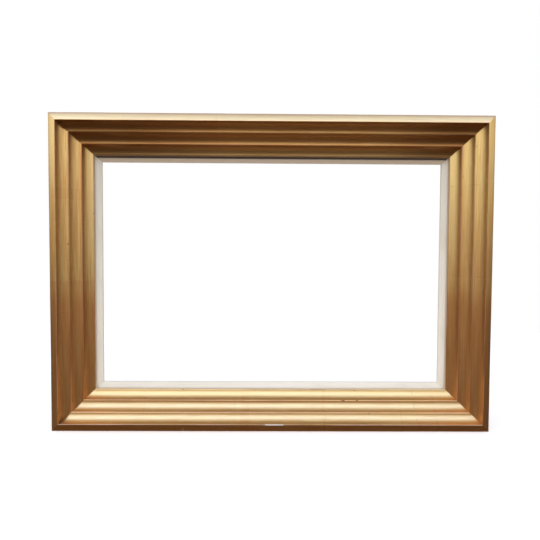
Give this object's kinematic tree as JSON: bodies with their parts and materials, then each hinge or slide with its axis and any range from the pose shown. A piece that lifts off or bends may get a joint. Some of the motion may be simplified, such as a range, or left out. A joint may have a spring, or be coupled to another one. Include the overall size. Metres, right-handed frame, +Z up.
{
  "type": "picture frame",
  "caption": "Empty landscape picture frame: mitred gilded moulding of stepped coves, a recessed painted liner, and turn buttons, strap hangers and wall bumpers on the back.",
  "frame": {"origin": "centre of the flat outer side of the bottom rail, on which the frame can stand", "axes": "+Z up, +X to the right as seen from the front along the frame's width, +Y from the face to the back; the face looks along -Y"},
  "size_m": [0.497, 0.0616, 0.357],
  "materials": {
    "gilding": "gold leaf over red bole on carved wood, burnished, worn to the bole along the lips",
    "liner_paint": "off-white casein paint on wood, matt, with fine lines along its length",
    "nail_steel": "plain steel strip",
    "hardware_steel": "zinc plated sheet steel and wire",
    "screw_steel": "zinc plated steel, slotted heads",
    "bumper_rubber": "matt moulded rubber"
  },
  "bodies": {
    "frame": {"top_rail": "gilding", "bottom_rail": "gilding", "left_stile": "gilding", "right_stile": "gilding", "liner_top": "liner_paint", "liner_bottom": "liner_paint", "liner_left": "liner_paint", "liner_right": "liner_paint", "v_nail_top_left_outer": "nail_steel", "v_nail_top_left_inner": "nail_steel", "v_nail_top_right_outer": "nail_steel", "v_nail_top_right_inner": "nail_steel", "v_nail_bottom_left_outer": "nail_steel", "v_nail_bottom_left_inner": "nail_steel", "v_nail_bottom_right_outer": "nail_steel", "v_nail_bottom_right_inner": "nail_steel", "liner_v_nail_top_left": "nail_steel", "liner_v_nail_top_right": "nail_steel", "liner_v_nail_bottom_left": "nail_steel", "liner_v_nail_bottom_right": "nail_steel", "liner_point_top_left": "nail_steel", "liner_point_top_right": "nail_steel", "liner_point_bottom_left": "nail_steel", "liner_point_bottom_right": "nail_steel", "liner_point_left_upper": "nail_steel", "liner_point_left_lower": "nail_steel", "liner_point_right_upper": "nail_steel", "liner_point_right_lower": "nail_steel", "turn_button_screw_top_left": "screw_steel", "turn_button_screw_top_right": "screw_steel", "turn_button_screw_left": "screw_steel", "turn_button_screw_right": "screw_steel", "turn_button_screw_bottom_left": "screw_steel", "turn_button_screw_bottom_right": "screw_steel", "hanger_left_strap": "hardware_steel", "hanger_right_strap": "hardware_steel", "hanger_left_screw_upper": "screw_steel", "hanger_left_screw_lower": "screw_steel", "hanger_right_screw_upper": "screw_steel", "hanger_right_screw_lower": "screw_steel", "wall_bumper_left": "bumper_rubber", "wall_bumper_right": "bumper_rubber"},
    "button_top_left": {"turn_button_top_left": "hardware_steel"},
    "button_top_right": {"turn_button_top_right": "hardware_steel"},
    "button_left": {"turn_button_left": "hardware_steel"},
    "button_right": {"turn_button_right": "hardware_steel"},
    "button_bottom_left": {"turn_button_bottom_left": "hardware_steel"},
    "button_bottom_right": {"turn_button_bottom_right": "hardware_steel"},
    "ring_left": {"hanger_left_ring": "hardware_steel"},
    "ring_right": {"hanger_right_ring": "hardware_steel"}
  },
  "joints": [
    {"name": "turn_top_left", "type": "hinge", "parent": "frame", "child": "button_top_left", "pos_m": [-0.0935, 0.02575, 0.33], "axis": [0, 1, 0], "continuous": true},
    {"name": "turn_top_right", "type": "hinge", "parent": "frame", "child": "button_top_right", "pos_m": [0.0935, 0.02575, 0.33], "axis": [0, 1, 0], "continuous": true},
    {"name": "turn_left", "type": "hinge", "parent": "frame", "child": "button_left", "pos_m": [-0.2215, 0.02575, 0.1785], "axis": [0, 1, 0], "continuous": true},
    {"name": "turn_right", "type": "hinge", "parent": "frame", "child": "button_right", "pos_m": [0.2215, 0.02575, 0.1785], "axis": [0, 1, 0], "continuous": true},
    {"name": "turn_bottom_left", "type": "hinge", "parent": "frame", "child": "button_bottom_left", "pos_m": [-0.0935, 0.02575, 0.027], "axis": [0, 1, 0], "continuous": true},
    {"name": "turn_bottom_right", "type": "hinge", "parent": "frame", "child": "button_bottom_right", "pos_m": [0.0935, 0.02575, 0.027], "axis": [0, 1, 0], "continuous": true},
    {"name": "ring_swing_left", "type": "hinge", "parent": "frame", "child": "ring_left", "pos_m": [-0.2335, 0.02845, 0.282], "axis": [1, 0, 0], "range_deg": [-3, 185]},
    {"name": "ring_swing_right", "type": "hinge", "parent": "frame", "child": "ring_right", "pos_m": [0.2335, 0.02845, 0.282], "axis": [1, 0, 0], "range_deg": [-3, 185]}
  ]
}
